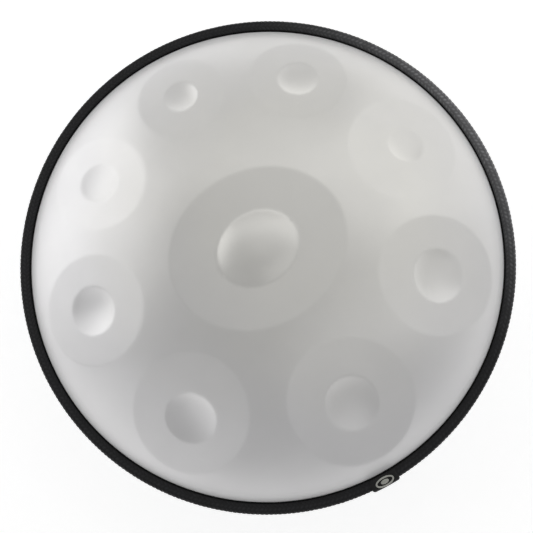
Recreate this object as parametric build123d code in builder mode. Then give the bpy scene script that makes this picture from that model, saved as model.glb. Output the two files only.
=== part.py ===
"""Handpan: two pressed steel shells glued rim to rim, with an edge channel, a woven rim band and a badge.

Millimetres, +Z up. The origin is on the instrument's axis at the plane it rests on. The player sits on the
-Y side, nearest the two lowest (largest) notes.
"""
from build123d import *
from math import asin, cos, degrees, radians, sin, sqrt
import os

# ---------------------------------------------------------------- driving dimensions
SHELL_BASE_RADIUS = 267.2      # where each dome meets its flange
SHELL_HEIGHT = 115.0           # dome height above the flange's outer face
STEEL_THICKNESS = 1.1
FLANGE_RADIUS = 276.5
FLANGE_BEND_RADIUS = 2.5       # on the outside of the bend
GLUE_THICKNESS = 0.4
GLUE_INNER_RADIUS = 269.5

FOOT_OUTER_RADIUS = 78.0       # where the dome would cut the plane that the instrument stands on
FOOT_BLEND_RADIUS = 40.0       # rounds that corner, on the outside of the steel
PORT_RADIUS = 52.0
PORT_ROLL_RADIUS = 8.0         # the port's edge rolls inwards into a short neck
PORT_NECK_TOP = 20.0

TRIM_RADIUS = 280.0            # outermost radius of the rim band
TRIM_HALF_HEIGHT = 3.6         # outside of the band, above and below the rim plane
BAND_THICKNESS = 0.95
BAND_EDGE_RADIUS = 267.9       # the band's two edges, beside the channel's lips
TRIM_CLEARANCE = 0.05
CHANNEL_LEG_RADIUS = 267.3     # the legs' ends, which carry the lip beads
BEAD_RADIUS = 0.8
BEAD_PLACE = (267.05, 2.85)    # radius and height above the rim plane
SLOT_CORNER_RADIUS = 268.4     # where the slot starts to flare along the flange's bend
SLOT_FLARE_END = (265.6, 2.3)
SLOT_BACK_RADIUS = 260.0       # the slot's cutter is open on this side
TRIM_JOINT_GAP = 0.8           # butt joint of channel and band, hidden by the badge

BADGE_ANGLE = -61.6            # direction of the badge from the axis
BADGE_LENGTH = 33.0
BADGE_THICKNESS = 1.2          # on the flats; the outermost line stands out further
BADGE_BULGE = 1.15
BADGE_EDGE_RADIUS = 268.6
BADGE_END_CHAMFER = 0.9        # the sleeve's ends slope down to the band
MEDALLION_HALF_LENGTH = 11.1
MEDALLION_TOP_RADIUS = 270.6   # the medallion reaches from here on the flat, over the edge, to the foot radius
MEDALLION_FOOT_RADIUS = 281.1
MEDALLION_RING_WIDTH = 2.0
MEDALLION_THICKNESS = 0.6
BOSS_HALF_LENGTH = 4.8
BOSS_HALF_WIDTH = 2.4

# One row per tone field: direction from the axis (degrees), distance of its centre from the axis,
# half-length towards the rim, half-width along the rim, the same two for its dimple, and how far the dimple
# sits off the field's middle, towards the rim and anticlockwise along it.
OUTER_FIELDS = [
    (-113.4, 185.0, 77.0, 63.0, 31.0, 28.0, 3.6, 1.3),
    (-58.9, 183.5, 79.0, 66.5, 33.7, 28.8, 0.0, 0.0),
    (-7.4, 188.3, 74.8, 62.9, 33.0, 28.6, 0.0, 0.0),
    (36.5, 190.0, 71.0, 58.0, 24.0, 20.6, 6.0, 1.8),
    (78.3, 197.0, 63.0, 53.0, 26.5, 22.5, 0.0, 0.0),
    (116.8, 195.5, 65.0, 48.5, 23.8, 19.4, 0.0, 0.0),
    (156.0, 193.3, 68.0, 52.5, 28.6, 22.2, 0.0, 0.0),
    (-161.5, 189.4, 71.3, 59.0, 31.0, 25.7, 0.0, 0.0),
]
DIMPLE_DEPTH_RATIO = 0.17      # dimple depth over its half-width
DING_DIRECTION = 32.0          # long axis of the central note
DING_HALF_LENGTH = 94.0
DING_HALF_WIDTH = 80.0
DING_DOME_HALF_LENGTH = 43.5
DING_DOME_HALF_WIDTH = 36.4
DING_DOME_HEIGHT = 10.0

FIELD_EDGE_RADIUS = 24.0       # blend from the dome into a tone field
DIMPLE_EDGE_RADIUS = 5.0
DOME_EDGE_RADIUS = 6.0         # blend around the foot of the central dome

CUTTER_MARGIN = 1.12           # cutters run past the outline they make by this factor
CUTTER_HEIGHT = 30.0
LENS_MARGIN = 6.0
RADIUS_MATCH = 0.01            # an edge counts as having a given radius when it is this close to it

# ---------------------------------------------------------------- derived dimensions
SPHERE_RADIUS = (SHELL_BASE_RADIUS ** 2 + SHELL_HEIGHT ** 2) / (2 * SHELL_HEIGHT)
FLANGE_OUTER_FACE = GLUE_THICKNESS / 2 + STEEL_THICKNESS      # height above the rim's mid-plane
FLANGE_INNER_FACE = GLUE_THICKNESS / 2
BOTTOM_SPHERE_Z = sqrt(SPHERE_RADIUS ** 2 - FOOT_OUTER_RADIUS ** 2)
RIM_Z = BOTTOM_SPHERE_Z - SPHERE_RADIUS + SHELL_HEIGHT + FLANGE_OUTER_FACE
TOP_SPHERE_Z = RIM_Z + FLANGE_OUTER_FACE + SHELL_HEIGHT - SPHERE_RADIUS
INNER_BASE_RADIUS = sqrt(                                     # where a dome's inner skin meets its flange
    (SPHERE_RADIUS - STEEL_THICKNESS) ** 2 - (SPHERE_RADIUS - SHELL_HEIGHT - STEEL_THICKNESS) ** 2
)
TRIM_CENTRE_RADIUS = TRIM_RADIUS - TRIM_HALF_HEIGHT           # centre of the trim's rounded outer edge
CHANNEL_HALF_HEIGHT = TRIM_HALF_HEIGHT - BAND_THICKNESS
BADGE_HALF_HEIGHT = TRIM_HALF_HEIGHT + TRIM_CLEARANCE + BADGE_THICKNESS
BADGE_CENTRE_RADIUS = TRIM_CENTRE_RADIUS + BADGE_BULGE


def sphere_point(sphere_radius, centre_z, axis_distance, side):
    """Point of a sphere's outline on the XZ plane; side is +1 for its upper half, -1 for its lower half."""
    return (axis_distance, centre_z + side * sqrt(sphere_radius ** 2 - axis_distance ** 2))


def circle_radius(half_chord, sagitta):
    """Radius of the circle that rises by sagitta over half_chord."""
    return (half_chord ** 2 + sagitta ** 2) / (2 * sagitta)


def round_circle(body, edge_radius, blend_radius):
    """Fillet the circular edges of the body in progress that have the given radius."""
    circles = body.edges().filter_by(GeomType.CIRCLE)
    fillet(circles.filter_by(lambda edge: abs(edge.radius - edge_radius) < RADIUS_MATCH), radius=blend_radius)


# ---------------------------------------------------------------- tone fields
def lens(long_radius, short_radius, height):
    """Solid with a doubly curved top: apex at the origin, long_radius along X, short_radius along Y."""
    half_width = sqrt(short_radius ** 2 - (short_radius - height) ** 2)
    half_sweep = CUTTER_MARGIN * asin(sqrt(long_radius ** 2 - (long_radius - height) ** 2) / long_radius)
    start = Plane(
        origin=(0, 0, -long_radius),
        x_dir=(0, 1, 0),
        z_dir=(cos(half_sweep), 0, sin(half_sweep)),
    )
    with BuildPart() as body:
        with BuildSketch(start):
            with BuildLine():
                base = Line((-half_width, long_radius - height), (half_width, long_radius - height))
                ThreePointArc(base @ 1, (0, long_radius), base @ 0)
            make_face()
        revolve(axis=Axis((0, 0, -long_radius), (0, 1, 0)), revolution_arc=degrees(2 * half_sweep))
    return body.part


def field_cutter(half_length, half_width, inset):
    """Solid above a tone field that is gently curved towards the rim and straight across.

    The origin is the middle of the field's outer face, with X towards the rim and Z outwards.
    """
    field_radius = SPHERE_RADIUS / (1 - (half_width / half_length) ** 2) - inset
    reach = CUTTER_MARGIN * half_length
    edge_drop = field_radius - sqrt(field_radius ** 2 - reach ** 2)
    with BuildPart() as body:
        with BuildSketch(Plane.XZ):
            with BuildLine():
                ThreePointArc((-reach, -edge_drop - inset), (0, -inset), (reach, -edge_drop - inset))
                Polyline(
                    (reach, -edge_drop - inset),
                    (reach, CUTTER_HEIGHT),
                    (-reach, CUTTER_HEIGHT),
                    (-reach, -edge_drop - inset),
                )
            make_face()
        extrude(amount=CUTTER_MARGIN * half_width, both=True)
    return body.part


def field_depth(half_width):
    """Depth of a tone field's middle below the dome."""
    return SPHERE_RADIUS - sqrt(SPHERE_RADIUS ** 2 - half_width ** 2)


def field_curvature(half_length, half_width):
    """Curvature of a tone field along its length."""
    return (1 - (half_width / half_length) ** 2) / SPHERE_RADIUS


def field_plane(direction, axis_distance, half_width):
    """Plane on the middle of a tone field: X runs down towards the rim, Z is the outward normal."""
    centre_radius = SPHERE_RADIUS - field_depth(half_width)
    tilt = asin(axis_distance / centre_radius)
    turn = radians(direction)
    normal = (sin(tilt) * cos(turn), sin(tilt) * sin(turn), cos(tilt))
    downhill = (cos(tilt) * cos(turn), cos(tilt) * sin(turn), -sin(tilt))
    origin = Vector(0, 0, TOP_SPHERE_Z) + Vector(*normal) * centre_radius
    return Plane(origin=origin, x_dir=downhill, z_dir=normal)


def field_outlines(body):
    """Edges where the tone fields meet the dome."""
    dome_edges = body.faces().filter_by(GeomType.SPHERE).edges()
    field_edges = body.faces().filter_by(GeomType.CYLINDER).edges()
    return [edge for edge in field_edges if any(edge.is_same(other) for other in dome_edges)]


def dome_body(inset):
    """Everything under the top shell's skin, moved inwards by inset, with all nine tone fields."""
    radius = SPHERE_RADIUS - inset
    floor_z = RIM_Z + FLANGE_INNER_FACE
    base_radius = sqrt(radius ** 2 - (floor_z - TOP_SPHERE_Z) ** 2)
    with BuildPart() as body:
        with BuildSketch(Plane.XZ):
            with BuildLine():
                middle = sphere_point(radius, TOP_SPHERE_Z, base_radius / 2, 1)
                ThreePointArc((0, TOP_SPHERE_Z + radius), middle, (base_radius, floor_z))
                Polyline((base_radius, floor_z), (0, floor_z), (0, TOP_SPHERE_Z + radius))
            make_face()
        revolve(axis=Axis.Z)

        for field in OUTER_FIELDS:
            direction, distance, half_length, half_width, dimple_length, dimple_width, outwards, sideways = field
            depth = DIMPLE_DEPTH_RATIO * dimple_width
            drop = field_curvature(half_length, half_width) * dimple_length ** 2 / 2
            long_radius = circle_radius(dimple_length, depth - drop) + inset
            short_radius = circle_radius(dimple_width, depth) + inset
            with Locations(field_plane(direction, distance, half_width)):
                add(field_cutter(half_length, half_width, inset), mode=Mode.SUBTRACT)
                with Locations((outwards, sideways, -depth - inset)):
                    bowl = lens(long_radius, short_radius, depth + inset + LENS_MARGIN)
                    add(bowl, rotation=(180, 0, 0), mode=Mode.SUBTRACT)

        drop = field_curvature(DING_HALF_LENGTH, DING_HALF_WIDTH) * DING_DOME_HALF_LENGTH ** 2 / 2
        long_radius = circle_radius(DING_DOME_HALF_LENGTH, DING_DOME_HEIGHT + drop) - inset
        short_radius = circle_radius(DING_DOME_HALF_WIDTH, DING_DOME_HEIGHT) - inset
        with Locations(field_plane(0, 0, DING_HALF_WIDTH)):
            with Locations(Location((0, 0, 0), (0, 0, DING_DIRECTION))):
                add(field_cutter(DING_HALF_LENGTH, DING_HALF_WIDTH, inset), mode=Mode.SUBTRACT)
                with Locations((0, 0, DING_DOME_HEIGHT - inset)):
                    add(lens(long_radius, short_radius, DING_DOME_HEIGHT + LENS_MARGIN))

        curved_faces = body.faces().filter_by(GeomType.REVOLUTION).sort_by(Axis.Z)
        dimple_edges = curved_faces[:-1].edges()
        ding_dome_edges = curved_faces[-1].edges()
        fillet(dimple_edges, radius=DIMPLE_EDGE_RADIUS - inset)
        fillet(ding_dome_edges, radius=DOME_EDGE_RADIUS + inset)
        fillet(field_outlines(body), radius=FIELD_EDGE_RADIUS - inset)
    return body.part


# ---------------------------------------------------------------- shells and glue
outer_dome = dome_body(0)
cavity = dome_body(STEEL_THICKNESS)

with BuildPart() as top_shell:
    add(outer_dome)
    with BuildSketch(Plane.XY.offset(RIM_Z + FLANGE_INNER_FACE)):
        Circle(FLANGE_RADIUS)
    extrude(amount=STEEL_THICKNESS)
    add(cavity, mode=Mode.SUBTRACT)
    round_circle(top_shell, SHELL_BASE_RADIUS, FLANGE_BEND_RADIUS)
    round_circle(top_shell, INNER_BASE_RADIUS, FLANGE_BEND_RADIUS + STEEL_THICKNESS)
top_shell.part.label = "top_shell"

with BuildPart() as bottom_shell:
    with BuildSketch(Plane.XZ):
        with BuildLine():
            flange_z = RIM_Z - FLANGE_OUTER_FACE
            inner_radius = SPHERE_RADIUS - STEEL_THICKNESS
            inner_foot = sqrt(inner_radius ** 2 - (BOTTOM_SPHERE_Z - STEEL_THICKNESS) ** 2)
            middle_distance = (FOOT_OUTER_RADIUS + SHELL_BASE_RADIUS) / 2
            roll_end = PORT_RADIUS + PORT_ROLL_RADIUS
            neck_inside = PORT_RADIUS + STEEL_THICKNESS
            # outside face, from the neck down under the port's roll and out to the flange
            Line((PORT_RADIUS, PORT_NECK_TOP), (PORT_RADIUS, PORT_ROLL_RADIUS))
            CenterArc((roll_end, PORT_ROLL_RADIUS), PORT_ROLL_RADIUS, 180, 90)
            Line((roll_end, 0), (FOOT_OUTER_RADIUS, 0))
            ThreePointArc(
                (FOOT_OUTER_RADIUS, 0),
                sphere_point(SPHERE_RADIUS, BOTTOM_SPHERE_Z, middle_distance, -1),
                (SHELL_BASE_RADIUS, flange_z),
            )
            Polyline(
                (SHELL_BASE_RADIUS, flange_z),
                (FLANGE_RADIUS, flange_z),
                (FLANGE_RADIUS, flange_z + STEEL_THICKNESS),
                (INNER_BASE_RADIUS, flange_z + STEEL_THICKNESS),
            )
            # inside face, back to the neck
            ThreePointArc(
                (INNER_BASE_RADIUS, flange_z + STEEL_THICKNESS),
                sphere_point(inner_radius, BOTTOM_SPHERE_Z, middle_distance, -1),
                (inner_foot, STEEL_THICKNESS),
            )
            Line((inner_foot, STEEL_THICKNESS), (roll_end, STEEL_THICKNESS))
            CenterArc((roll_end, PORT_ROLL_RADIUS), PORT_ROLL_RADIUS - STEEL_THICKNESS, 270, -90)
            Polyline((neck_inside, PORT_ROLL_RADIUS), (neck_inside, PORT_NECK_TOP), (PORT_RADIUS, PORT_NECK_TOP))
        make_face()
    revolve(axis=Axis.Z)
    round_circle(bottom_shell, SHELL_BASE_RADIUS, FLANGE_BEND_RADIUS)
    round_circle(bottom_shell, INNER_BASE_RADIUS, FLANGE_BEND_RADIUS + STEEL_THICKNESS)
    round_circle(bottom_shell, FOOT_OUTER_RADIUS, FOOT_BLEND_RADIUS)
    round_circle(bottom_shell, inner_foot, FOOT_BLEND_RADIUS - STEEL_THICKNESS)
bottom_shell.part.label = "bottom_shell"

with BuildPart() as seam_glue:
    with BuildSketch(Plane.XY.offset(RIM_Z - GLUE_THICKNESS / 2)):
        Circle(FLANGE_RADIUS)
        Circle(GLUE_INNER_RADIUS, mode=Mode.SUBTRACT)
    extrude(amount=GLUE_THICKNESS)
seam_glue.part.label = "seam_glue"


# ---------------------------------------------------------------- rim trim
def wrap_ring(inner, outer, edge_radius, start=0.0, sweep=360.0):
    """U-shaped strip over the rim, between two layers, from direction start through the angle sweep.

    A layer is the radius of its rounded edge's centre and its half-height.
    """
    inner_centre, inner_half = inner
    outer_centre, outer_half = outer
    with BuildPart() as strip:
        with BuildSketch(Plane.XZ.rotated((0, 0, start))):
            with BuildLine():
                CenterArc((outer_centre, RIM_Z), outer_half, -90, 180)
                CenterArc((inner_centre, RIM_Z), inner_half, 90, -180)
                for side in (-1, 1):
                    Polyline(
                        (inner_centre, RIM_Z + side * inner_half),
                        (edge_radius, RIM_Z + side * inner_half),
                        (edge_radius, RIM_Z + side * outer_half),
                        (outer_centre, RIM_Z + side * outer_half),
                    )
            make_face()
        revolve(axis=Axis.Z, revolution_arc=sweep)
    return strip.part


def cut_joint_gap():
    """Cut the butt joint of a trim strip, in line with the badge, from the part in progress."""
    with Locations(Location((0, 0, RIM_Z), (0, 0, BADGE_ANGLE))):
        with Locations((TRIM_CENTRE_RADIUS, 0, 0)):
            Box(8 * TRIM_HALF_HEIGHT, TRIM_JOINT_GAP, 4 * TRIM_HALF_HEIGHT, mode=Mode.SUBTRACT)


with BuildPart() as edge_channel:
    with BuildSketch(Plane.XZ):
        with BuildLine():
            CenterArc((TRIM_CENTRE_RADIUS, RIM_Z), CHANNEL_HALF_HEIGHT, -90, 180)
            Polyline(
                (TRIM_CENTRE_RADIUS, RIM_Z + CHANNEL_HALF_HEIGHT),
                (CHANNEL_LEG_RADIUS, RIM_Z + CHANNEL_HALF_HEIGHT),
                (CHANNEL_LEG_RADIUS, RIM_Z - CHANNEL_HALF_HEIGHT),
                (TRIM_CENTRE_RADIUS, RIM_Z - CHANNEL_HALF_HEIGHT),
            )
        make_face()
        bead_radius, bead_height = BEAD_PLACE
        with Locations((bead_radius, RIM_Z - bead_height), (bead_radius, RIM_Z + bead_height)):
            Circle(BEAD_RADIUS)
        slot_depth = FLANGE_RADIUS + TRIM_CLEARANCE
        slot_half = FLANGE_OUTER_FACE + TRIM_CLEARANCE
        flare_radius, flare_height = SLOT_FLARE_END
        with BuildLine():
            Polyline(
                (slot_depth, RIM_Z - slot_half),
                (slot_depth, RIM_Z + slot_half),
                (SLOT_CORNER_RADIUS, RIM_Z + slot_half),
                (flare_radius, RIM_Z + flare_height),
                (SLOT_BACK_RADIUS, RIM_Z + slot_half),
                (SLOT_BACK_RADIUS, RIM_Z - slot_half),
                (flare_radius, RIM_Z - flare_height),
                (SLOT_CORNER_RADIUS, RIM_Z - slot_half),
                (slot_depth, RIM_Z - slot_half),
            )
        make_face(mode=Mode.SUBTRACT)
    revolve(axis=Axis.Z)
    cut_joint_gap()
edge_channel.part.label = "edge_channel"

band_inside = (TRIM_CENTRE_RADIUS, CHANNEL_HALF_HEIGHT + TRIM_CLEARANCE / 2)
band_outside = (TRIM_CENTRE_RADIUS, TRIM_HALF_HEIGHT)
with BuildPart() as rim_band:
    add(wrap_ring(band_inside, band_outside, BAND_EDGE_RADIUS))
    cut_joint_gap()
rim_band.part.label = "rim_band"

# ---------------------------------------------------------------- badge
BADGE_SWEEP = degrees(BADGE_LENGTH / TRIM_RADIUS)
BADGE_START = BADGE_ANGLE - BADGE_SWEEP / 2
BADGE_DIRECTION = Vector(cos(radians(BADGE_ANGLE)), sin(radians(BADGE_ANGLE)), 0)


sleeve_inside = (TRIM_CENTRE_RADIUS, TRIM_HALF_HEIGHT + TRIM_CLEARANCE)
sleeve_outside = (BADGE_CENTRE_RADIUS, BADGE_HALF_HEIGHT)


def on_outer_end(edge):
    """Whether an edge of the sleeve runs across the trim along the outside of one of its ends."""
    if edge.geom_type == GeomType.CIRCLE:
        return abs(edge.radius - BADGE_HALF_HEIGHT) < RADIUS_MATCH
    return edge.geom_type == GeomType.LINE and abs(abs(edge.center().Z - RIM_Z) - BADGE_HALF_HEIGHT) < RADIUS_MATCH


with BuildPart() as badge_sleeve:
    add(wrap_ring(sleeve_inside, sleeve_outside, BADGE_EDGE_RADIUS, BADGE_START, BADGE_SWEEP))
    chamfer(badge_sleeve.edges().filter_by(on_outer_end), length=BADGE_END_CHAMFER)
badge_sleeve.part.label = "badge_sleeve"

# The medallion's plane holds its top edge, on the sleeve's flat, and its foot, on the sleeve's rounded edge.
foot_height = sqrt(BADGE_HALF_HEIGHT ** 2 - (MEDALLION_FOOT_RADIUS - BADGE_CENTRE_RADIUS) ** 2)
medallion_top = BADGE_DIRECTION * MEDALLION_TOP_RADIUS + Vector(0, 0, RIM_Z + BADGE_HALF_HEIGHT)
medallion_foot = BADGE_DIRECTION * MEDALLION_FOOT_RADIUS + Vector(0, 0, RIM_Z + foot_height)
medallion_across = medallion_foot - medallion_top
medallion_half_width = medallion_across.length / 2
along_rim = Vector(-BADGE_DIRECTION.Y, BADGE_DIRECTION.X, 0)
MEDALLION_PLANE = Plane(
    origin=(medallion_top + medallion_foot) * 0.5,
    x_dir=along_rim,
    z_dir=medallion_across.cross(along_rim),
)
medallion_outside = (BADGE_CENTRE_RADIUS, BADGE_HALF_HEIGHT + MEDALLION_THICKNESS)
medallion_skin = wrap_ring(sleeve_outside, medallion_outside, BADGE_EDGE_RADIUS, BADGE_START, BADGE_SWEEP)

with BuildPart() as badge_ring:
    add(medallion_skin)
    with BuildSketch(MEDALLION_PLANE):
        Ellipse(MEDALLION_HALF_LENGTH, medallion_half_width)
        Ellipse(
            MEDALLION_HALF_LENGTH - MEDALLION_RING_WIDTH,
            medallion_half_width - MEDALLION_RING_WIDTH,
            mode=Mode.SUBTRACT,
        )
    extrude(amount=2 * BADGE_HALF_HEIGHT, mode=Mode.INTERSECT)
badge_ring.part.label = "badge_ring"

with BuildPart() as badge_boss:
    add(medallion_skin)
    with BuildSketch(MEDALLION_PLANE):
        Ellipse(BOSS_HALF_LENGTH, BOSS_HALF_WIDTH)
    extrude(amount=2 * BADGE_HALF_HEIGHT, mode=Mode.INTERSECT)
badge_boss.part.label = "badge_boss"

# ---------------------------------------------------------------- files
os.makedirs("parts", exist_ok=True)
export_step(top_shell.part, "parts/top_shell.step")
export_step(bottom_shell.part, "parts/bottom_shell.step")
export_step(seam_glue.part, "parts/seam_glue.step")
export_step(edge_channel.part, "parts/edge_channel.step")
export_step(rim_band.part, "parts/rim_band.step")
export_step(badge_sleeve.part, "parts/badge_sleeve.step")
export_step(badge_ring.part, "parts/badge_ring.step")
export_step(badge_boss.part, "parts/badge_boss.step")
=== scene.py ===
"""Looks for the handpan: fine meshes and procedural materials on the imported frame, in metres, +Z up."""
import math

import bpy
import numpy as np
from mathutils import Matrix, Vector


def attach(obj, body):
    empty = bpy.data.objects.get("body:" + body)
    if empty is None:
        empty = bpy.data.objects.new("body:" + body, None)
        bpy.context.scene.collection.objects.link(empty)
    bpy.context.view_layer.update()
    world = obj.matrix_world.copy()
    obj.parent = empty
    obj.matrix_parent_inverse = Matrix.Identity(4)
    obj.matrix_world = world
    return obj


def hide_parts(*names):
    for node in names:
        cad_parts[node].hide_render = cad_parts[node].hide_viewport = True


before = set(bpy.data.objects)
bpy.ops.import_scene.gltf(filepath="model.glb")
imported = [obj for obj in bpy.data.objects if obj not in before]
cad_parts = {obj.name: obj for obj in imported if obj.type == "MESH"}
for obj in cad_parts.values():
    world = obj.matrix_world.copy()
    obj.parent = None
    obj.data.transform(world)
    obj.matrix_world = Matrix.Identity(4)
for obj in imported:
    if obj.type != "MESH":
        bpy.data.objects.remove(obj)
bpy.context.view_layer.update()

# ---------------------------------------------------------------- dimensions, in millimetres
MM = 0.001
SHELL_BASE_RADIUS = 267.2
SHELL_HEIGHT = 115.0
STEEL = 1.1
FLANGE_RADIUS = 276.5
FLANGE_BEND_RADIUS = 2.5
FLANGE_CHAMFER = 0.2
GLUE_THICKNESS = 0.4

FOOT_OUTER_RADIUS = 78.0
FOOT_BLEND_RADIUS = 40.0
PORT_RADIUS = 52.0
PORT_ROLL_RADIUS = 8.0
PORT_NECK_TOP = 20.0
NECK_POINT_DROP = 6.0          # the neck's wall has one more point this far below its top

TRIM_RADIUS = 280.0
TRIM_HALF_HEIGHT = 3.6
BAND_THICKNESS = 0.95
BAND_EDGE_RADIUS = 267.9
TRIM_CLEARANCE = 0.05
BEAD_RADIUS = 0.8
BEAD_PLACE = (267.05, 2.85)
BEAD_ARC = (285, -15)          # where the bead's arc starts and ends in the section, in degrees
CHANNEL_FLAT_GAP = 0.3         # from the band's edge to where the channel's flat side starts
SLOT_DEPTH_RADIUS = 276.55
SLOT_CORNER_RADIUS = 268.4

BADGE_ANGLE = math.radians(-61.6)
BADGE_LENGTH = 33.0
BADGE_THICKNESS = 1.2
BADGE_BULGE = 1.15
BADGE_EDGE_RADIUS = 268.6
MEDALLION_HALF_LENGTH = 11.1
MEDALLION_TOP_RADIUS = 270.6
MEDALLION_FOOT_RADIUS = 281.1
MEDALLION_RING_WIDTH = 2.0
MEDALLION_THICKNESS = 0.6
BOSS_HALF_LENGTH = 4.8
BOSS_HALF_WIDTH = 2.4

SLEEVE_BITE = 0.3              # how far the sleeve's inner face lies inside the trim's surface
SLEEVE_SLOPE_LENGTH = 2.6      # length of the sloped ends
SLEEVE_SLOPE_POWER = 0.8
SLEEVE_LIP_WIDTH = 1.4         # width of the rounded edge beside the steel
SLEEVE_LEAST = 0.35            # thickness left at the sleeve's ends, over its full thickness
SLEEVE_LIP_LEAST = 0.3         # share of the remaining thickness that the rounded edge leaves
GROOVE_CLEARANCE = 0.5         # from the medallion's edge to the middle of the groove around it
GROOVE_DEPTH = 0.15            # over the sleeve's thickness
GROOVE_WIDTH = 0.05            # over the medallion's size

# direction (degrees), distance from the axis, half-length, half-width, dimple half-length,
# dimple half-width, and how far the dimple sits off the field's middle, towards the rim and
# anticlockwise along it
OUTER_FIELDS = [
    (-113.4, 185.0, 77.0, 63.0, 31.0, 28.0, 3.6, 1.3),
    (-58.9, 183.5, 79.0, 66.5, 33.7, 28.8, 0.0, 0.0),
    (-7.4, 188.3, 74.8, 62.9, 33.0, 28.6, 0.0, 0.0),
    (36.5, 190.0, 71.0, 58.0, 24.0, 20.6, 6.0, 1.8),
    (78.3, 197.0, 63.0, 53.0, 26.5, 22.5, 0.0, 0.0),
    (116.8, 195.5, 65.0, 48.5, 23.8, 19.4, 0.0, 0.0),
    (156.0, 193.3, 68.0, 52.5, 28.6, 22.2, 0.0, 0.0),
    (-161.5, 189.4, 71.3, 59.0, 31.0, 25.7, 0.0, 0.0),
]
DIMPLE_DEPTH_RATIO = 0.17
DING_FIELD = (32.0, 94.0, 80.0)     # direction of the long axis, half-length, half-width
DING_DOME = (43.5, 36.4, 10.0)      # half-length, half-width, height

# widths, along the surface's normal, of the blends between neighbouring surfaces
FIELD_BLEND = 0.24
DIMPLE_BLEND = 0.30
DOME_BLEND = 0.9

SPHERE = (SHELL_BASE_RADIUS ** 2 + SHELL_HEIGHT ** 2) / (2 * SHELL_HEIGHT)
FLANGE_FACE = GLUE_THICKNESS / 2 + STEEL
BOTTOM_CENTRE_Z = math.sqrt(SPHERE ** 2 - FOOT_OUTER_RADIUS ** 2)
RIM_Z = BOTTOM_CENTRE_Z - SPHERE + SHELL_HEIGHT + FLANGE_FACE
TOP_CENTRE_Z = RIM_Z + FLANGE_FACE + SHELL_HEIGHT - SPHERE
TRIM_CENTRE_RADIUS = TRIM_RADIUS - TRIM_HALF_HEIGHT     # centre of the trim's rounded outer edge
QUARTER = math.pi / 2 * TRIM_HALF_HEIGHT                # length of that edge's upper half
BADGE_HALF_HEIGHT = TRIM_HALF_HEIGHT + TRIM_CLEARANCE + BADGE_THICKNESS
BADGE_CENTRE_RADIUS = TRIM_CENTRE_RADIUS + BADGE_BULGE

# mesh fineness
TOP_GRID = 260
TOP_INNER_GRID = 110
REVOLVE_STEPS = 360
TRIM_STEPS = 720
BOSS_GRID = 24
SLEEVE_GRID = (96, 110)        # across and along the sleeve
RING_GRID = (96, 14)           # around the ring and around its section
BEND_STEPS = 6
NECK_EDGE_STEPS = 4
PORT_STEPS = (12, 10)          # outside and inside, as in the next two
FOOT_BLEND_STEPS = (8, 6)
DOME_STEPS = (70, 50)
BEAD_STEPS = 14
TRIM_EDGE_STEPS = 10
BADGE_TABLE_REACH = (8.0, 0.5)     # tabled positions across the sleeve: first past its edge, and last
BADGE_TABLE_STEPS = 400

# where each surface of the top shell is worked out
NEAR_NORMAL = 0.9              # cosine of the widest angle off a field's normal that is looked at
FIELD_REACH = 1.5              # over a tone field's half-length
DIMPLE_REACH = 1.25            # over a dimple's oval
DOME_REACH = 1.3               # over the central dome's oval
OUT_OF_REACH = 50.0            # beyond its reach, a dimple's surface is put this far outside the sphere
NEWTON_STEPS = 12
NEWTON_PROBE = 0.01            # step over which a slope is measured
NEWTON_LEAST_SLOPE = 0.05
NEWTON_LONGEST_STEP = 8.0
LEAST_SQUARE = 1.0             # keeps a section's square root real past its edge

BRAID_COLUMNS = 7
BRAID_REPEATS = 352
STRAND_LENGTH_STEPS = 7
STRAND_WIDTH_STEPS = 5
STRAND_OVERLAP = 1.14          # a strand's length over its column's width
STRAND_SLANT = 1.5             # how far a strand leans along the rim over half its length
STRAND_FILL = 0.94             # a strand's width over the space between strands
STRAND_HEIGHT = 0.45
STRAND_POINT = 0.8             # how much a strand narrows towards its ends
STRAND_ROUNDNESS = 0.96        # how far a strand falls away at its sides
STRAND_SINK = 0.2              # how deep a strand's sides are sunk in the band, over its height
STRAND_DIVE = 0.75             # how far a strand's ends go down under its neighbours
STRAND_POINT_POWER = 3
STRAND_DIVE_POWER = 2.5
STRAND_SHIFT_SPREAD = 0.02     # random spread of a strand's place, over the pitch
STRAND_LIFT_SPREAD = 0.03      # random spread of a strand's height, in millimetres
BRAID_SEED = 7
BACKING_STEPS = 21
BACKING_THICKNESS = 0.12

BOSS_FLATNESS = 0.96           # how much the boss falls away to its edge
BOSS_POWER = 3
BOSS_SEAT = 0.3                # depth that the boss is set into the sleeve
RING_FULLNESS = 0.7            # power that fills out the ring's section
RING_SEAT = 0.3                # how deep the ring is set into the sleeve, over its height

# ---------------------------------------------------------------- looks and stage
STEEL_METALLIC = 0.9
STEEL_ROUGHNESS = 0.4
STEEL_DENT_DEPTH = 0.0003
STEEL_TOOTH_DEPTH = 0.000004
UPPER_STEEL_COLOURS = ((0.81, 0.80, 0.765, 1.0), (0.785, 0.78, 0.785, 1.0))     # warm, neutral
LOWER_STEEL_COLOURS = ((0.77, 0.775, 0.76, 1.0), (0.76, 0.77, 0.775, 1.0))
WARM_PATCH_CENTRE = (0.045, 0.06, 0.0)
WARM_PATCH_FROM = 0.1          # the warm tint fades between these distances from the patch's centre
WARM_PATCH_TO = 0.26
FOOT_WEAR_HEIGHT = 0.0004
FOOT_WEAR_COLOUR = (0.55, 0.55, 0.54, 1.0)
FOOT_WEAR_SMOOTHING = -0.12
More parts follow.
